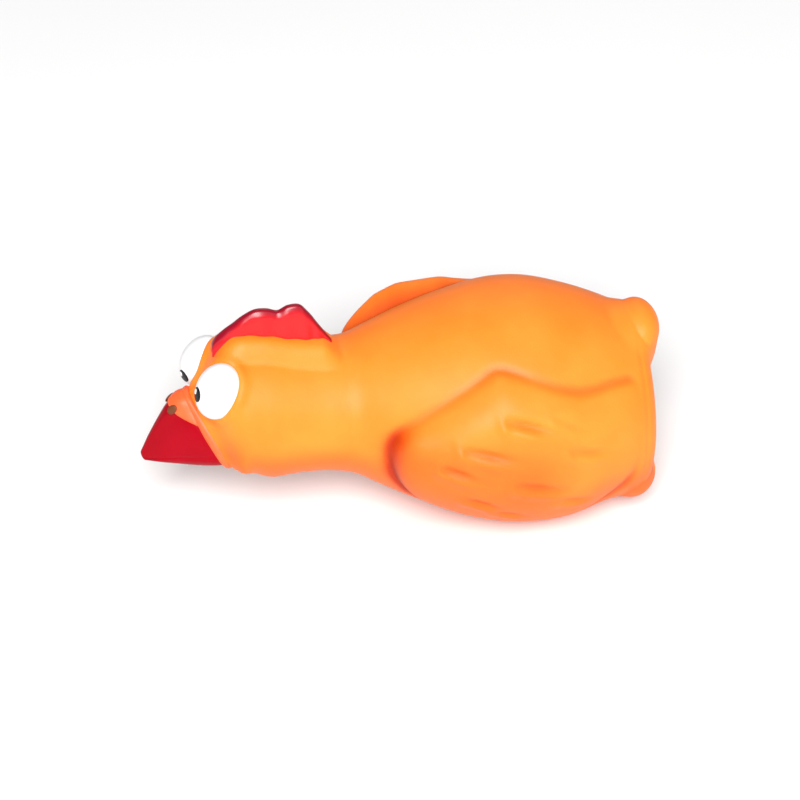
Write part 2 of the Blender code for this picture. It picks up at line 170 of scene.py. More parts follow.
# Ridge under the comb, groove before the rear face, and dent of the brow.
RIDGE_HEIGHT = 4.7
RIDGE_FRONT_FADE, RIDGE_REAR_FADE, RIDGE_SIDE_FADE = (-59, -49), (-19, -27), (11.5, 4.0)
GROOVE_X, GROOVE_WIDTH, GROOVE_DEPTH = 77.4, 0.8, 0.35
BROW_X, BROW_LENGTH, BROW_WIDTH, BROW_DEPTH = -62.0, 5.0, 8.0, 5.0
WING_REAR_LIMIT = (80.5, 74.5)
# How far the skin swells round an eye: height, distance from the eye, width.
EYE_COLLAR = (1.0, 0.6, 1.7)
FLOOR_SOFTNESS = 0.25

# Painted shade on the underside, jaw, rear and lower wings: strengths, and where each fades in by
# degrees and by spine x.
LOW_WING_SHADE, UNDERSIDE_SHADE, JAW_SHADE, REAR_SHADE = 0.40, 0.34, 0.46, 0.46
LOW_WING_DEGREES, LOW_WING_REAR, LOW_WING_FRONT = (66, 90), (60, 36), (-12, -2)
UNDERSIDE_DEGREES = (92, 118)
JAW_X, JAW_WIDTH, JAW_DEGREES = -61.0, 6.0, (75, 105)
REAR_SHADE_X, REAR_SHADE_DEGREES = (66, 74), (105, 125)

COMB_CREST = [
    (-62.2, 70.4), (-62.2, 72.6), (-61.0, 74.9), (-58.6, 77.2), (-55.2, 79.7), (-51.5, 82.5),
    (-47.5, 84.4), (-43.5, 84.2), (-40.4, 83.2), (-37.0, 84.8), (-33.4, 84.9), (-30.2, 81.6),
    (-27.0, 76.6), (-22.8, 70.2),
]
COMB_HALF_WIDTH = 3.7
COMB_STEPS, COMB_SIDES = 120, 48
CROWN_STEPS = 200
COMB_SINK = 1.0
COMB_LEAST_HEIGHT = 0.4
COMB_HEIGHT_POWER, COMB_WIDTH_POWER = 0.75, 0.55
COMB_END_TURN = 0.02
COMB_END_WIDTH = 0.45
COMB_TAPER = 0.40
COMB_FLUTES, COMB_FLUTE_DEPTH = 7, 0.28
# Bead along the comb's crest: height, place and width, as shares of the comb's height.
COMB_BEAD = (0.10, 0.86, 0.07)
# Painted shade along the comb's crest and down its front slope: width of the crest band as a
# share of the comb's height, strength at the front, and where it fades in along the spine.
COMB_RIM_WIDTH = 0.14
COMB_FRONT_RIM, COMB_FRONT_FADE = 0.9, (-52, -61)

# Outline of the beak and face across: (side, up) from the top round to the bottom.
FACE_PROFILE = [
    (0.0, 1.0), (0.20, 0.93), (0.40, 0.60), (0.66, 0.12), (0.90, -0.42), (1.0, -0.72),
    (0.93, -0.93), (0.70, -1.0), (0.35, -1.02), (0.0, -1.03),
]
FACE_FROM_X = -51.0
FACE_ONSET = 1.5
# Beak sections: (top x, top z, bottom x, bottom z, half width).
BEAK_SECTIONS = np.array([
    (-71.2, 55.2, -58.6, 33.4, 14.3),
    (-74.6, 54.2, -62.6, 32.4, 13.6),
    (-77.8, 50.9, -68.6, 31.6, 11.0),
    (-80.8, 46.0, -75.0, 31.0, 7.7),
    (-84.2, 39.6, -80.8, 30.5, 4.6),
    (-87.0, 33.4, -85.8, 30.3, 1.8),
])
BEAK_ROWS, BEAK_SIDES = 70, 144
MOUTH_SHARE = 0.60
MOUTH_DEPTH, MOUTH_WIDTH = 0.45, 0.018
MOUTH_DEPTH_LIMIT = 0.4
# Rings that close the beak's tip: (share of the last ring, distance pushed out).
BEAK_TIP_RINGS = ((0.85, 0.3), (0.55, 0.55), (0.25, 0.68), (0.02, 0.72))
BEAK_TIP_DROP = 0.5
BEAK_BACK_SHARES = (0.02, 0.4, 0.8)
# Bead round the beak: its radius, and how much and where it gets thinner towards the top.
LIP_RADIUS, LIP_THINNING, LIP_FADE = 2.05, 0.85, (0.55, 0.95)
LIP_INSET = 0.02
LIP_SIDES = 16
LIP_ACROSS = (0.55, 0.0, 0.83)
# Patch over the beak's root, in rows and columns of the beak's grid.
CERE_STEPS, CERE_COLUMNS = 40, 61
CERE_FIRST_ROW = 2
CERE_REACH, CERE_EDGE_REACH, CERE_POWER = 21.0, 3.0, 2.4
CERE_WIDTH = 0.165
CERE_FRONT_EDGE, CERE_SIDE_EDGE = 3.5, 6.0
CERE_RISE, CERE_SINK = 0.60, 0.12
NOSTRIL_ROW, NOSTRIL_COLUMN = 26, 7
NOSTRIL_LIFT = 0.55
NOSTRIL_AXES = (2.0, 1.4, 0.5)

EYE_CENTRES = {-1: (-61.8, -12.1, 62.4), 1: (-64.4, 11.0, 59.2)}
EYE_LOOK = (-0.64, 0.57, 0.36)
EYE_LONG = (0.25, -0.04, 0.90)
EYE_AXES = (7.6, 9.6, 6.9)
PUPIL_AIMS = {-1: (-69.1, -13.2, 62.7), 1: (-71.0, 7.8, 56.0)}
PUPIL_SIZE, PUPIL_LIFT = (0.34, 0.27), 0.22
GLINT_SHIFT = (-0.2, 0.9, 0.7)
GLINT_SIZE, GLINT_LIFT = (0.11, 0.10), 0.36
# Rings of a spot on an eye: (share of its size, share of its lift).
SPOT_RINGS = (
    (1.0, -0.3), (1.0, 0.5), (0.96, 0.9), (0.8, 1.0), (0.55, 1.0), (0.3, 1.0), (0.02, 1.0),
)
SPOT_SIDES = 40
EGG_POLE = 0.02


# ---------------------------------------------------------------- shape of the skin

def hermite(x, xs, ys):
    """Smooth curve through points whose xs rise, at each x of an array."""
    slopes = np.gradient(ys, xs)
    k = np.clip(np.searchsorted(xs, x) - 1, 0, len(xs) - 2)
    span = xs[k + 1] - xs[k]
    t = (x - xs[k]) / span
    start = (1 + 2 * t) * (1 - t) ** 2 * ys[k] + t * (1 - t) ** 2 * span * slopes[k]
    end = t * t * (3 - 2 * t) * ys[k + 1] + t * t * (t - 1) * span * slopes[k + 1]
    return start + end


def section(x):
    """Spine height, lean in radians, half height and half width at spine positions."""
    rows = SECTIONS[::-1]
    z, lean, high, wide = (hermite(x, rows[:, 0], rows[:, i]) for i in range(1, 5))
    t = np.clip((x - REAR_ROUND_FROM) / (REAR_X - REAR_ROUND_FROM), 0, 1)
    rounding = REAR_ROUND_DEPTH * (1 - np.sqrt(1 - t * t))
    return z, np.radians(lean), high - rounding, wide - rounding


def face_profile(sides):
    """Unit outline of the face across, at evenly spaced steps of its length from the top."""
    half = open_curve(FACE_PROFILE, sides // 2 + 1)
    half[0, 0] = half[-1, 0] = 0
    return np.concatenate([half, half[-2:0:-1] * (-1, 1)])


def ring_points(x, high, wide, z, lean):
    """Rings of the grid: one row of points for each spine position."""
    angle = np.linspace(0, math.tau, SIDES, endpoint=False)
    share = fade(x, FACE_FROM_X, SECTIONS[-1, 0])[:, None] ** FACE_ONSET
    face = face_profile(SIDES)
    up = high[:, None] * ((1 - share) * np.cos(angle) + share * face[:, 1])
    side = wide[:, None] * ((1 - share) * np.sin(angle) + share * face[:, 0])
    return np.stack([
        x[:, None] - np.sin(lean)[:, None] * up,
        side,
        z[:, None] + np.cos(lean)[:, None] * up,
    ], axis=-1)


def spine_stops():
    """Spine positions of the rings, close together where the surface turns fast."""
    turn = np.linspace(math.pi / 2, 0, RINGS["rear"], endpoint=False)
    rear = REAR_ROUND_FROM + (REAR_X - REAR_ROUND_FROM) * np.sin(turn)
    body = np.linspace(REAR_ROUND_FROM, NECK_REAR_X, RINGS["body"], endpoint=False)
    neck_rear = np.linspace(NECK_REAR_X, NECK_MIDDLE_X, RINGS["neck_rear"], endpoint=False)
    neck_front = np.linspace(NECK_MIDDLE_X, NECK_FRONT_X, RINGS["neck_front"], endpoint=False)
    head = np.linspace(NECK_FRONT_X, SECTIONS[-1, 0], RINGS["head"])
    return np.concatenate([rear, body, neck_rear, neck_front, head])


def smooth_step(t):
    t = np.clip(t, 0, 1)
    return t * t * (3 - 2 * t)


def fade(value, start, full):
    """0 up to start and 1 from full on, with a smooth change between; full may be lower."""
    return smooth_step((value - start) / (full - start))


def between(pair, share):
    """From the first of a pair to the second."""
    return pair[0] + (pair[1] - pair[0]) * share


def bell(t):
    return np.exp(-t * t)


def softened(values, passes):
    """A field over the grid, averaged with its neighbours a number of times."""
    for _ in range(passes):
        values = (np.roll(values, 1, 1) + 2 * values + np.roll(values, -1, 1)) / 4
        rows = np.concatenate([values[:1], values, values[-1:]])
        values = (rows[:-2] + 2 * values + rows[2:]) / 4
    return values


def smooth_max(a, b, k):
    """The larger of two distances, rounded off over k where they are close."""
    h = np.clip(k - np.abs(a - b), 0, None) / k
    return np.maximum(a, b) + h * h * k / 4


def closed_curve(points, steps=6):
    """Closed Catmull-Rom curve through outline points."""
    p = np.array(points, dtype=float)
    t = np.linspace(0, 1, steps, endpoint=False)[:, None]
    pieces = []
    for k in range(len(p)):
        a, b, c, d = (p[(k + i - 1) % len(p)] for i in range(4))
        pieces.append(0.5 * (2 * b + (c - a) * t + (2 * a - 5 * b + 4 * c - d) * t**2
                             + (3 * b - a - 3 * c + d) * t**3))
    return np.concatenate(pieces)


def inside_distance(u, v, outline):
    """Distance from points to an outline, positive inside it."""
    nearest = np.full(u.shape, 1e9)
    crossings = np.zeros(u.shape, dtype=int)
    for (ax, ay), (bx, by) in zip(outline, np.roll(outline, -1, axis=0)):
        dx, dy = bx - ax, by - ay
        t = np.clip(((u - ax) * dx + (v - ay) * dy) / (dx * dx + dy * dy), 0, 1)
        nearest = np.minimum(nearest, (u - ax - t * dx) ** 2 + (v - ay - t * dy) ** 2)
        if by != ay:
            spans = (ay > v) != (by > v)
            crossings += spans & (u < ax + (v - ay) * dx / dy)
    return np.where(crossings % 2 == 1, 1, -1) * np.sqrt(nearest)


def wing_lift(x, degrees, side):
    """How far the skin stands out for one wing and its feathers, and its painted shade in folds
    and grooves.
    """
    v = degrees * WING_MM_PER_DEGREE
    corners = WING_REAR + WING_FRONTS[side]
    outline = closed_curve([(px, a * WING_MM_PER_DEGREE) for px, a in corners])
    inside = inside_distance(x, v, outline)
    heights = np.array(WING_HEIGHTS[side])
    height = np.interp(x, heights[:, 0], heights[:, 1]) * between(
        (WING_LEAST_HEIGHT, 1), fade(degrees, *WING_LOW_FADE))
    front = fade(x, *WING_FRONT_FADES[side])
    if side < 0:
        front = front * fade(degrees, *LEFT_FRONT_DEGREES)
    t = np.clip(inside / between(EDGE_WIDTHS, front), 0, 1)
    rounded = np.sqrt(1 - (1 - t) ** 2)
    soft = fade(inside, 0, SOFT_EDGE_WIDTH)
    mixed = ROUNDED_SHARE * rounded + (1 - ROUNDED_SHARE) * soft
    puffed = softened(height * mixed, SOFT_PASSES)
    lift = front * softened(height * rounded, FRONT_PASSES) + (1 - front) * puffed
    shown = fade(degrees, *OUTLINE_DEGREES_FADE) * fade(x, *OUTLINE_REAR_FADE)
    shown = shown * np.interp(x, *OUTLINE_STRENGTH)
    line = bell((inside - OUTLINE_INSET) / between(OUTLINE_WIDTHS, front)) * shown
    lift -= between(OUTLINE_DEPTHS, front) * line
    fold = bell((inside - CREASE_INSET) / between(CREASE_WIDTHS, front)) * shown
    painted_shade = between(CREASE_STRENGTHS, front) * fold
    painted_shade += FRONT_SHADE * bell((inside - FRONT_SHADE_INSET) / FRONT_SHADE_WIDTH) * front
    for fx, angle, half, depth in FEATHERS:
        along = (x - fx) / half
        across = v - angle * WING_MM_PER_DEGREE - FEATHER_SLANT * along
        ends = bell(along * FEATHER_TAPER)
        tip = bell((x - fx + half * FEATHER_TIP_PLACE) / FEATHER_TIP_LENGTH)
        groove, ridge, end = (
            share * depth * bell((across - place) / width)
            for share, place, width in (FEATHER_GROOVE, FEATHER_RIDGE, FEATHER_TIP))
        lift += ridge * ends + end * tip - groove * ends
        painted_shade += FEATHER_CREASE * groove * ends
    return lift, painted_shade


def press_out(points, centre, axes, inner, soften):
    """Pushes the skin out, away from a point inside it, over an egg-shaped lump."""
    way = points - inner
    reach = np.linalg.norm(way, axis=-1)
    way = way / reach[..., None]
    d = way / axes
    o = (np.array(inner) - centre) / axes
    a = np.sum(d * d, axis=-1)
    b = np.sum(d * o, axis=-1)
    c = np.sum(o * o) - 1
    inside = b * b - a * c
    hit = np.where(inside > 0, (-b + np.sqrt(np.abs(inside))) / a, NO_HIT)
    near = fade(reach, *LUMP_REACH_FADE)
    grown = smooth_max(reach, hit, soften)
    # Where the lump meets the body, used for painted shade in that fold.
    fold = near * bell((reach - hit) / FOLD_WIDTH)
    return inner + way * (reach + (grown - reach) * near)[..., None], fold


def lower_shade(x, degrees):
    """How much painted shade, in the deeper colour, shows on the underside, jaw, rear and lower
    wings.
    """
    low_wing = fade(degrees, *LOW_WING_DEGREES) * fade(x, *LOW_WING_REAR)
    low_wing = low_wing * fade(x, *LOW_WING_FRONT)
    underside = fade(degrees, *UNDERSIDE_DEGREES)
    jaw = bell((x - JAW_X) / JAW_WIDTH) * fade(degrees, *JAW_DEGREES)
    rear = fade(x, *REAR_SHADE_X) * fade(degrees, *REAR_SHADE_DEGREES)
    return np.maximum.reduce([LOW_WING_SHADE * low_wing, UNDERSIDE_SHADE * underside,
                              JAW_SHADE * jaw, REAR_SHADE * rear])


def add_lumps(points, painted_shade):
    """The skin with its tail, its feet and the swelling round its eyes."""
    points, _ = press_out(points, *TAIL, soften=TAIL_SOFTNESS)
    points, _ = press_out(points, *TAIL_TIP, soften=TAIL_SOFTNESS)
    centre, axes, inner = (np.array(v) for v in FOOT)
    rise, place, width = EYE_COLLAR
    for side in (-1, 1):
        mirror = np.array((1, side, 1))
        points, fold = press_out(points, centre * mirror, axes, inner * mirror,
                                 soften=FOOT_SOFTNESS)
        # Painted shade in the fold round the foot.
        painted_shade = np.maximum(painted_shade, FOOT_CREASE * fold)
        local = (points - EYE_CENTRES[side]) @ eye_frame(side).T / EYE_AXES
        gap = (np.linalg.norm(local, axis=-1) - 1) * EYE_AXES[0]
        collar = rise * bell((gap - place) / width)
        points = points + grid_normals(points) * collar[..., None]
    return points, painted_shade


def skin_grid():
    """The whole skin as a grid of points, row by row from the squeaker hole to the face."""
    x = spine_stops()
    z, lean, high, wide = section(x)
    turn = np.linspace(0, 360, SIDES, endpoint=False)
    grid_x, grid_turn = np.meshgrid(x, turn, indexing="ij")
    grid_a = np.minimum(grid_turn, 360 - grid_turn)
    on_right = grid_turn < 180
    left_lift, left_shade = wing_lift(grid_x, grid_a, -1)
    right_lift, right_shade = wing_lift(grid_x, grid_a, 1)
    lift = np.where(on_right, right_lift, left_lift) * fade(grid_x, *WING_REAR_LIMIT)
    # Painted shade: in the wings' folds and grooves, and on the lower parts.
    painted_shade = np.where(on_right, right_shade, left_shade) + lower_shade(grid_x, grid_a)
    arc = np.radians(grid_a) * high[:, None]
    ridge = fade(grid_x, *RIDGE_FRONT_FADE) * fade(grid_x, *RIDGE_REAR_FADE)
    lift += RIDGE_HEIGHT * ridge * fade(arc, *RIDGE_SIDE_FADE)
    lift -= GROOVE_DEPTH * bell((grid_x - GROOVE_X) / GROOVE_WIDTH)
    lift -= BROW_DEPTH * bell((grid_x - BROW_X) / BROW_LENGTH) * bell(arc / BROW_WIDTH)
    points = ring_points(x, high, wide, z, lean)
    out = points - ring_points(x, high * 0, wide * 0, z, lean)
    out = out / np.linalg.norm(out, axis=-1)[..., None]
    points = points + out * lift[..., None]

    disc_radius, disc_x = np.array(DISC_RINGS).T
    flat = np.zeros(len(disc_x))
    disc = ring_points(disc_x + REAR_X, disc_radius, disc_radius, flat + SECTIONS[0, 1], flat)
    end = points[-1]
    centre = end.mean(axis=0)
    cap = centre + (end - centre) * FACE_CAP_SHARES[:, None, None]
    cap[..., 0] -= FACE_CAP_DEPTH * (1 - FACE_CAP_SHARES)[:, None]
    points = np.concatenate([disc, points, cap])
    painted_shade = np.concatenate([disc[..., 0] * 0, painted_shade, cap[..., 0] * 0])
    points, painted_shade = add_lumps(points, painted_shade)
    height = points[..., 2]
    points[..., 2] = 0.5 * (height + np.sqrt(height**2 + FLOOR_SOFTNESS))

    stops = [len(disc_x) + int(np.searchsorted(-x, -cut))
             for cut in (NECK_REAR_X, NECK_MIDDLE_X, NECK_FRONT_X)]
    stops = [0] + stops + [len(points) - 1]
    rows = dict(zip(("body", "neck_rear", "neck_front", "head"), zip(stops, stops[1:])))
    return points, np.clip(painted_shade, 0, 1), rows


# ---------------------------------------------------------------- making meshes

def grid_normals(points):
    """Outward normals of a grid whose rows run along the body and columns go round it."""
    along = np.gradient(points, axis=0)
    around = np.roll(points, -1, axis=1) - np.roll(points, 1, axis=1)
    normals = np.cross(around, along)
    return normals / np.maximum(np.linalg.norm(normals, axis=-1), 1e-9)[..., None]


def mesh_from_grid(name, points, normals=None, wrap=False, ends=False, flip=False):
    """A mesh from a grid of points in millimetres, closed round or at its ends if asked."""
    rows, cols = points.shape[:2]
    faces = []
    for r in range(rows - 1):
        for c in range(cols if wrap else cols - 1):
            d = (c + 1) % cols
            face = (r * cols + c, r * cols + d, (r + 1) * cols + d, (r + 1) * cols + c)
            faces.append(face[::-1] if flip else face)
    if ends:
        first = list(range(cols))
        last = [(rows - 1) * cols + c for c in range(cols)]
        faces.append(first if flip else first[::-1])
        faces.append(last[::-1] if flip else last)
    mesh = bpy.data.meshes.new(name)
    mesh.from_pydata((points.reshape(-1, 3) * MM).tolist(), [], faces)
    mesh.shade_smooth()
    if normals is not None:
        mesh.normals_split_custom_set_from_vertices(normals.reshape(-1, 3).tolist())
    made = bpy.data.objects.new(name, mesh)
    bpy.context.scene.collection.objects.link(made)
    return made


def cut_grid(name, skin, rows, cols=None):
    """One piece of the skin: a band of rows, all round or from one column to another."""
    pick = np.arange(SIDES) if cols is None else np.arange(cols[0], cols[1] + 1) % SIDES
    points, normals, painted_shade = (part[rows[0]:rows[1] + 1][:, pick] for part in skin)
    made = mesh_from_grid(name, points, normals, wrap=cols is None)
    set_painted_shade(made, painted_shade)
    return made


def set_painted_shade(made, painted_shade):
    # The painted shade value of each point, which the materials read.
    shade = made.data.attributes.new("painted_shade", "FLOAT", "POINT")
    shade.data.foreach_set("value", painted_shade.ravel().astype(np.float32))


# ---------------------------------------------------------------- materials

def srgb(r, g, b):
    """Linear colour from a 0 to 255 screen colour."""
    return tuple(
        c / 12.92 if c <= 0.04045 else ((c + 0.055) / 1.055) ** 2.4
        for c in (r / 255, g / 255, b / 255)
    )


MOTTLE_STOPS = (0.35, 0.72)
MOTTLE_DETAIL, GRAIN_DETAIL = 4.0, 3.0
ROUGHNESS_SPREAD = 0.08
PIT_DEPTH = 0.0004
GLOW_RADIUS, GLOW_SCALE = (1.0, 0.35, 0.12), 0.003


def surface(name, colour, other, roughness, shade_colour=None, bump=0.04, grain=1400.0, mottle=55.0,
            subsurface=0.0, metallic=0.0, specular=0.5):
    """A moulded or painted surface: mottled colour, uneven gloss and fine pitting.

    A shade colour, if given, is mixed in as painted shade where the mesh's painted shade value
    says so.
    """
    made = bpy.data.materials.new(name)
    made.use_nodes = True
    nodes, links = made.node_tree.nodes, made.node_tree.links
    shader = nodes["Principled BSDF"]
    place = nodes.new("ShaderNodeTexCoord")
    big = nodes.new("ShaderNodeTexNoise")
    big.inputs["Scale"].default_value = mottle
    big.inputs["Detail"].default_value = MOTTLE_DETAIL
    links.new(place.outputs["Object"], big.inputs["Vector"])
    ramp = nodes.new("ShaderNodeValToRGB")
    for stop, place_on_ramp, tone in zip(ramp.color_ramp.elements, MOTTLE_STOPS, (colour, other)):
        stop.position = place_on_ramp
        stop.color = (*tone, 1)
    links.new(big.outputs["Fac"], ramp.inputs["Fac"])
    colours = ramp.outputs["Color"]
    # Painted shade: the darker colour mixed in by the mesh's painted shade value.
    if shade_colour:
        painted_shade = nodes.new("ShaderNodeAttribute")
        painted_shade.attribute_name = "painted_shade"
        mix = nodes.new("ShaderNodeMix")
        mix.data_type = "RGBA"
        links.new(painted_shade.outputs["Fac"], mix.inputs["Factor"])
        links.new(colours, mix.inputs["A"])
        mix.inputs["B"].default_value = (*shade_colour, 1)
        colours = mix.outputs["Result"]
    links.new(colours, shader.inputs["Base Color"])
    spread = nodes.new("ShaderNodeMapRange")
    spread.inputs["To Min"].default_value = roughness - ROUGHNESS_SPREAD
    spread.inputs["To Max"].default_value = roughness + ROUGHNESS_SPREAD
    links.new(big.outputs["Fac"], spread.inputs["Value"])
    links.new(spread.outputs["Result"], shader.inputs["Roughness"])
    fine = nodes.new("ShaderNodeTexNoise")
    fine.inputs["Scale"].default_value = grain
    fine.inputs["Detail"].default_value = GRAIN_DETAIL
    links.new(place.outputs["Object"], fine.inputs["Vector"])
    pits = nodes.new("ShaderNodeBump")
    pits.inputs["Strength"].default_value = bump
    pits.inputs["Distance"].default_value = PIT_DEPTH
    links.new(fine.outputs["Fac"], pits.inputs["Height"])
    links.new(pits.outputs["Normal"], shader.inputs["Normal"])
    shader.inputs["Metallic"].default_value = metallic
    shader.inputs["Specular IOR Level"].default_value = specular
    if subsurface:
        shader.inputs["Subsurface Weight"].default_value = subsurface
        shader.inputs["Subsurface Radius"].default_value = GLOW_RADIUS
        shader.inputs["Subsurface Scale"].default_value = GLOW_SCALE
    return made


# The darker colours of the latex and the comb are painted shade: in the latex's folds and on its
# lower parts, and along the comb's crest and front slope.
LATEX = surface("orange_latex", srgb(252, 122, 32), srgb(253, 131, 41), 0.50,
                shade_colour=srgb(170, 42, 0), bump=0.12, subsurface=0.2, specular=0.24)
LIP = surface("lip_latex", srgb(242, 92, 44), srgb(247, 102, 52), 0.46, bump=0.10,
              subsurface=0.2, specular=0.3)
COMB = surface("comb_paint", srgb(206, 14, 18), srgb(214, 22, 24), 0.30,
               shade_colour=srgb(132, 0, 26), specular=0.35)
BEAK = surface("beak_paint", srgb(142, 0, 16), srgb(154, 0, 22), 0.30, specular=0.10)
WHITE = surface("eye_paint", srgb(224, 224, 226), srgb(229, 228, 226), 0.34, specular=0.35)
BLACK = surface("pupil_paint", srgb(4, 4, 6), srgb(9, 8, 9), 0.4, specular=0.2)
BROWN = surface("nostril_paint", srgb(104, 58, 32), srgb(84, 46, 28), 0.5, specular=0.2)
PLASTIC = surface("squeaker_plastic", srgb(214, 208, 194), srgb(221, 216, 204), 0.30)
BRASS = surface("reed_brass", srgb(214, 180, 110), srgb(224, 194, 128), 0.28, metallic=1.0)


def paint(made, material):
    made.data.materials.clear()
    made.data.materials.append(material)
    return made


# ---------------------------------------------------------------- the skin

def make_skin():
    points, painted_shade, rows = skin_grid()
    skin = (points, grid_normals(points), painted_shade)
    half = SIDES // 2
    right = cut_grid("right_body_skin", skin, rows["body"], (0, half))
    left = cut_grid("left_body_skin", skin, rows["body"], (half, SIDES))
    for piece, side, sign in ((left, "left", -1), (right, "right", 1)):
        paint(piece, LATEX)
        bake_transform(piece)
        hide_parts(side + "_flank", side + "_wing", side + "_foot")
    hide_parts("torso_skin", "tail")
    neck_rear = cut_grid("neck_rear_skin", skin, rows["neck_rear"])
    neck_front = cut_grid("neck_front_skin", skin, rows["neck_front"])
    head = cut_grid("head_front_skin", skin, rows["head"])
    for piece in (neck_rear, neck_front, head):
        paint(piece, LATEX)
    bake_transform(neck_rear)
    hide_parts("neck_skin")
    bend_with_neck(neck_front)
    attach(head, "head")
    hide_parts("head_skin")


def bend_with_neck(piece):
    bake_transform(piece)


# ---------------------------------------------------------------- comb, beak and eyes

def open_curve(points, count):
    """Smooth curve through points, at evenly spaced steps of its length."""
    p = np.array(points, dtype=float)
    at = np.concatenate([[0], np.cumsum(np.linalg.norm(np.diff(p, axis=0), axis=1))])
    t = np.linspace(0, at[-1], count)
    return np.stack([hermite(t, at, p[:, i]) for i in range(p.shape[1])], axis=1)


def crown_line():
    """The line along the top of the head and neck, front to back."""
    x = np.linspace(SECTIONS[-1, 0], 0, CROWN_STEPS)
    z, lean, high, _ = section(x)
    return x - np.sin(lean) * high, z + np.cos(lean) * high


def make_comb():
    crest = open_curve(COMB_CREST, COMB_STEPS)
    top_x, top_z = crown_line()
    base_z = np.interp(crest[:, 0], top_x, top_z) - COMB_SINK
    turn = np.linspace(0, math.pi, COMB_SIDES)
    share = np.sin(turn) ** COMB_HEIGHT_POWER
    flat = np.sign(np.cos(turn)) * np.abs(np.cos(turn)) ** COMB_WIDTH_POWER
    along = np.linspace(COMB_END_TURN, math.pi - COMB_END_TURN, COMB_STEPS)
    width = COMB_HALF_WIDTH * between((COMB_END_WIDTH, 1), np.sqrt(np.sin(along)))
    waves = np.cos(np.linspace(0, COMB_FLUTES * math.tau, COMB_STEPS))[:, None]
    flutes = COMB_FLUTE_DEPTH * waves * share * (1 - share)
    rise, place, spread = COMB_BEAD
    bead = 1 - COMB_TAPER * share + rise * bell((share - place) / spread) + flutes
    grid = np.zeros((COMB_STEPS, COMB_SIDES, 3))
    height = np.maximum(crest[:, 1] - base_z, COMB_LEAST_HEIGHT)
    grid[..., 0] = crest[:, :1]
    grid[..., 1] = width[:, None] * flat * bead
    grid[..., 2] = base_z[:, None] + height[:, None] * share
    comb = mesh_from_grid("comb", grid, wrap=True, ends=True, flip=True)
    # Painted shade, darker crimson, along the crest and down the front slope.
    rim = bell((1 - share) / COMB_RIM_WIDTH)[None, :]
    front = COMB_FRONT_RIM * fade(crest[:, :1], *COMB_FRONT_FADE) * share
    set_painted_shade(comb, np.clip(rim + front, 0, 1))
    paint(comb, COMB)
    bend_with_neck(comb)
    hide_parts("comb")


def closed_bead(name, path, radius):
    """A round bead along a closed path, with its own radius at each point."""
    along = np.roll(path, -1, axis=0) - np.roll(path, 1, axis=0)
    along /= np.linalg.norm(along, axis=1)[:, None]
    side = np.cross(along, LIP_ACROSS)
    side /= np.linalg.norm(side, axis=1)[:, None]
    other = np.cross(along, side)
    turn = np.linspace(0, math.tau, LIP_SIDES, endpoint=False)[None, :, None]
    round_way = np.cos(turn) * side[:, None] + np.sin(turn) * other[:, None]
    grid = path[:, None] + radius[:, None, None] * round_way
    return mesh_from_grid(name, np.concatenate([grid, grid[:1]]), wrap=True, flip=True)


def beak_grid():
    """The beak's outside as rows from the face to the tip, with rows that close its ends."""
    s = np.linspace(0, 1, len(BEAK_SECTIONS))
    t = np.linspace(0, 1, BEAK_ROWS)
    top_x, top_z, low_x, low_z, wide = (hermite(t, s, BEAK_SECTIONS[:, i]) for i in range(5))
    profile = face_profile(BEAK_SIDES)
    side, up = profile[:, 0], profile[:, 1]
    grid = np.zeros((BEAK_ROWS, BEAK_SIDES, 3))
    grid[..., 0] = ((top_x + low_x) / 2)[:, None] + ((top_x - low_x) / 2)[:, None] * up
    grid[..., 1] = wide[:, None] * side
    grid[..., 2] = ((top_z + low_z) / 2)[:, None] + ((top_z - low_z) / 2)[:, None] * up
    from_top = 1 - np.abs(np.linspace(-1, 1, BEAK_SIDES, endpoint=False))
    dent = MOUTH_DEPTH * bell((from_top - MOUTH_SHARE) / MOUTH_WIDTH)
    out = grid - grid.mean(axis=1, keepdims=True)
    length = np.linalg.norm(out, axis=-1, keepdims=True)
    grid = grid - out / length * np.minimum(dent[None, :, None], length * MOUTH_DEPTH_LIMIT)
    tip, back = grid[-1].mean(axis=0), grid[0].mean(axis=0)
    tips = [tip + (grid[-1] - tip) * k - np.array((push, 0, push * BEAK_TIP_DROP))
            for k, push in BEAK_TIP_RINGS]
    backs = [back + (grid[0] - back) * k for k in BEAK_BACK_SHARES]
    return np.concatenate([backs, grid, tips])


def make_beak():
    grid = beak_grid()
    normals = grid_normals(grid)
    last = int(round(MOUTH_SHARE * BEAK_SIDES / 2))
    for name, columns in (("upper_beak", np.arange(-last, last + 1) % BEAK_SIDES),
                          ("lower_beak", np.arange(last, BEAK_SIDES - last + 1))):
        made = mesh_from_grid(name, grid[:, columns], normals[:, columns])
        paint(made, BEAK)
        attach(made, "head")
        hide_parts(name)
    first = len(BEAK_BACK_SHARES)
    make_cere(grid, normals, first + CERE_FIRST_ROW)
    edge = grid[first + 1]
    lip = edge - (edge - edge.mean(axis=0)) * LIP_INSET
    from_bottom = np.abs(np.linspace(-1, 1, BEAK_SIDES // 2, endpoint=False))
    radius = LIP_RADIUS - LIP_THINNING * fade(from_bottom, *LIP_FADE)
    ring = closed_bead("beak_lip", lip[::2], radius)
    paint(ring, LIP)
    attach(ring, "head")
    return grid


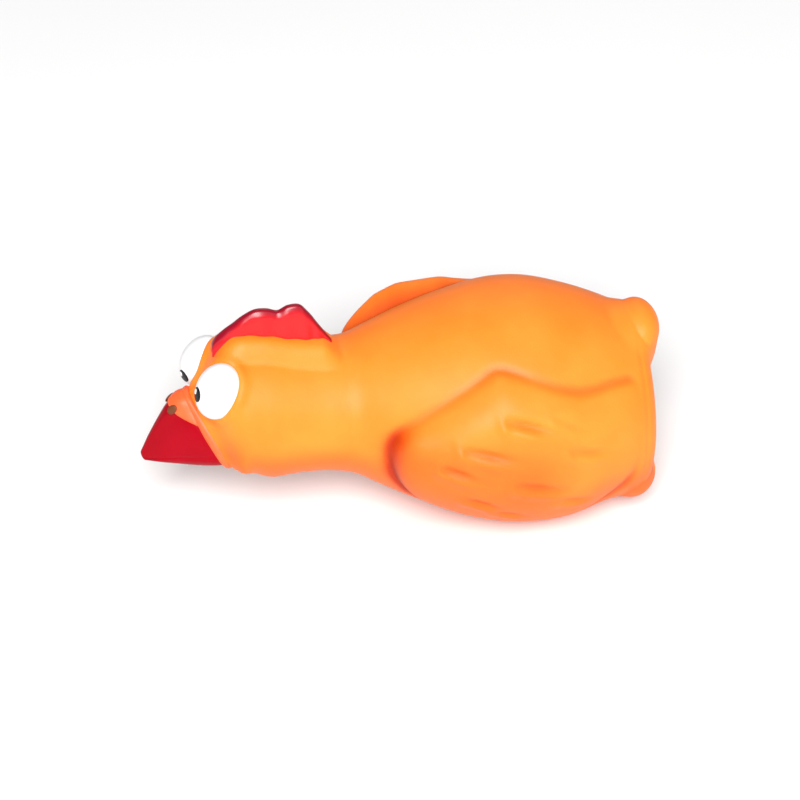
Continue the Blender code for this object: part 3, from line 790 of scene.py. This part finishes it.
def make_cere(beak, normals, first):
    """The raised salmon patch over the root of the beak, where the nostrils are."""
    across = np.linspace(-1, 1, CERE_COLUMNS)
    reach = CERE_REACH * (1 - np.abs(across) ** CERE_POWER) + CERE_EDGE_REACH
    half = beak.shape[1] * CERE_WIDTH
    t = np.linspace(0, 1, CERE_STEPS)
    grid = np.zeros((CERE_STEPS, CERE_COLUMNS, 3))
    for k, u in enumerate(across):
        rows = first + reach[k] * t
        low = np.clip(rows.astype(int), 0, len(beak) - 2)
        share = (rows - low)[:, None]
        c0 = int(math.floor(half * u))
        cs = half * u - c0
        place, out = (
            (1 - share) * ((1 - cs) * part[low, c0] + cs * part[low, c0 + 1])
            + share * ((1 - cs) * part[low + 1, c0] + cs * part[low + 1, c0 + 1])
            for part in (beak, normals))
        edge = np.minimum((1 - t) * reach[k] / CERE_FRONT_EDGE, (1 - abs(u)) * CERE_SIDE_EDGE)
        rise = np.sqrt(np.clip(1 - (1 - np.clip(edge, 0, 1)) ** 2, 0, 1))
        grid[:, k] = place + out * (CERE_RISE * rise - CERE_SINK)[:, None]
    made = mesh_from_grid("beak_cere", grid)
    paint(made, LIP)
    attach(made, "head")


def eye_frame(side):
    """Across, long and look directions of an eye."""
    look = Vector((EYE_LOOK[0], side * EYE_LOOK[1], EYE_LOOK[2])).normalized()
    long_way = Vector((EYE_LONG[0], side * EYE_LONG[1], EYE_LONG[2]))
    across = long_way.cross(look).normalized()
    return np.array([across, look.cross(across), look])


def egg_grid(centre, axes, turn, rows=48, sides=80):
    """Rows and columns of points on an egg shape, turned by the rows of turn."""
    polar = np.linspace(EGG_POLE, math.pi - EGG_POLE, rows)
    round_way = np.linspace(0, math.tau, sides, endpoint=False)
    unit = np.stack([
        np.sin(polar)[:, None] * np.cos(round_way),
        np.sin(polar)[:, None] * np.sin(round_way),
        np.cos(polar)[:, None] + 0 * round_way,
    ], axis=-1)
    return np.array(centre) + (unit * axes) @ turn


def spot_on_eye(name, centre, turn, aim, size, lift, material):
    """A thin painted spot that follows the curve of an eye."""
    direction = turn @ (np.array(aim) - centre) / EYE_AXES
    direction /= np.linalg.norm(direction)
    first = np.cross(direction, (0.0, 1.0, 0.0))
    first /= np.linalg.norm(first)
    second = np.cross(direction, first)
    round_way = np.linspace(0, math.tau, SPOT_SIDES, endpoint=False)[:, None]
    grid = np.zeros((len(SPOT_RINGS), SPOT_SIDES, 3))
    for k, (share, lift_share) in enumerate(SPOT_RINGS):
        way = (direction + share * size[0] * np.cos(round_way) * first
               + share * size[1] * np.sin(round_way) * second)
        way /= np.linalg.norm(way, axis=1)[:, None]
        grid[k] = way * (np.array(EYE_AXES) + lift_share * lift)
    made = mesh_from_grid(name, np.array(centre) + grid @ turn, wrap=True)
    paint(made, material)
    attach(made, "head")
    return made


def make_eyes():
    for side, word in ((-1, "left"), (1, "right")):
        centre = np.array(EYE_CENTRES[side])
        turn = eye_frame(side)
        shape = egg_grid(centre, EYE_AXES, turn)
        eye = mesh_from_grid(word + "_eye", shape, wrap=True, ends=True)
        paint(eye, WHITE)
        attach(eye, "head")
        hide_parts(word + "_eye")
        aim = np.array(PUPIL_AIMS[side])
        pupil = spot_on_eye(word + "_pupil", centre, turn, aim, PUPIL_SIZE, PUPIL_LIFT,
                            BLACK)
        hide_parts(word + "_pupil")
        spot_on_eye(word + "_glint", centre, turn, aim + np.array(GLINT_SHIFT), GLINT_SIZE,
                    GLINT_LIFT, WHITE)


def make_nostrils(beak):
    columns = beak.shape[1]
    for word, column in (("left", columns - NOSTRIL_COLUMN), ("right", NOSTRIL_COLUMN)):
        row = NOSTRIL_ROW
        a = beak[row + 1, column] - beak[row - 1, column]
        a /= np.linalg.norm(a)
        b = beak[row, (column + 1) % columns] - beak[row, column - 1]
        normal = np.cross(b, a)
        normal /= np.linalg.norm(normal)
        turn = np.array([a, np.cross(normal, a), normal])
        spot = beak[row, column] + normal * NOSTRIL_LIFT
        grid = egg_grid(spot, NOSTRIL_AXES, turn, rows=20, sides=32)
        made = mesh_from_grid(word + "_nostril", grid, wrap=True, ends=True)
        paint(made, BROWN)
        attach(made, "head")
        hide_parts(word + "_nostril")


# ---------------------------------------------------------------- squeaker and stage

def finish_squeaker():
    for node, material, slot in (
        ("squeaker_housing", PLASTIC, "squeaker_plastic"),
        ("squeaker_cap", PLASTIC, "squeaker_plastic"),
        ("reed_tube", PLASTIC, "squeaker_plastic"),
        ("squeaker_reed", BRASS, "reed_brass"),
    ):
        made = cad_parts[node]
        made.data.materials.clear()
        made.data.materials.append(material)


FLOOR_SIZE = 6.0


def make_stage():
    bpy.ops.mesh.primitive_plane_add(size=FLOOR_SIZE)
    floor = bpy.context.object
    floor.name = "floor"
    floor.data.materials.append(
        surface("floor_paper", srgb(237, 237, 237), srgb(239, 239, 239), 0.8, bump=0.02,
                grain=300.0, mottle=3.0))


# Lights in metres and watts: (name, place, aim, size, power).
LIGHTS = [
    ("key", (-0.40, -1.86, 1.62), (0, 0, 0.04), 1.25, 106.0),
    ("fill", (1.7, -1.5, 1.1), (0, 0, 0.04), 1.6, 9.0),
    ("back", (0.5, 2.1, 1.7), (0, 0, 0.05), 1.8, 7.0),
]
SKY_STRENGTH = 0.27


def area_light(name, place, aim, size, power):
    light = bpy.data.lights.new(name, "AREA")
    light.shape = "DISK"
    light.size = size
    light.energy = power
    made = bpy.data.objects.new(name, light)
    made.location = place
    made.rotation_euler = (Vector(aim) - Vector(place)).to_track_quat("-Z", "Y").to_euler()
    bpy.context.scene.collection.objects.link(made)


def make_lights():
    for light in LIGHTS:
        area_light(*light)
    world = bpy.data.worlds.new("soft_sky")
    world.use_nodes = True
    sky = world.node_tree.nodes["Background"]
    sky.inputs["Color"].default_value = (1, 1, 1, 1)
    sky.inputs["Strength"].default_value = SKY_STRENGTH
    bpy.context.scene.world = world


# Camera: degrees round from the left side and up, metres away, and what it looks at.
CAMERA_AZIMUTH = -10.0
CAMERA_ELEVATION = 35.0
CAMERA_DISTANCE = 1.0
CAMERA_TARGET = (0.0, 0.0, 43.1)
CAMERA_LENS, CAMERA_SENSOR = 135.0, 36.0


def make_camera():
    a, e = math.radians(CAMERA_AZIMUTH), math.radians(CAMERA_ELEVATION)
    way = Vector((-math.sin(a) * math.cos(e), math.cos(a) * math.cos(e), -math.sin(e)))
    lens = bpy.data.cameras.new("camera")
    lens.lens = CAMERA_LENS
    lens.sensor_width = CAMERA_SENSOR
    lens.dof.use_dof = False
    camera = bpy.data.objects.new("camera", lens)
    camera.location = Vector(CAMERA_TARGET) * MM - way * CAMERA_DISTANCE
    camera.rotation_euler = way.to_track_quat("-Z", "Y").to_euler()
    bpy.context.scene.collection.objects.link(camera)
    bpy.context.scene.camera = camera


bpy.context.scene.view_settings.view_transform = "Standard"
make_skin()
make_comb()
beak = make_beak()
make_eyes()
make_nostrils(beak)
finish_squeaker()
make_stage()
make_lights()
make_camera()
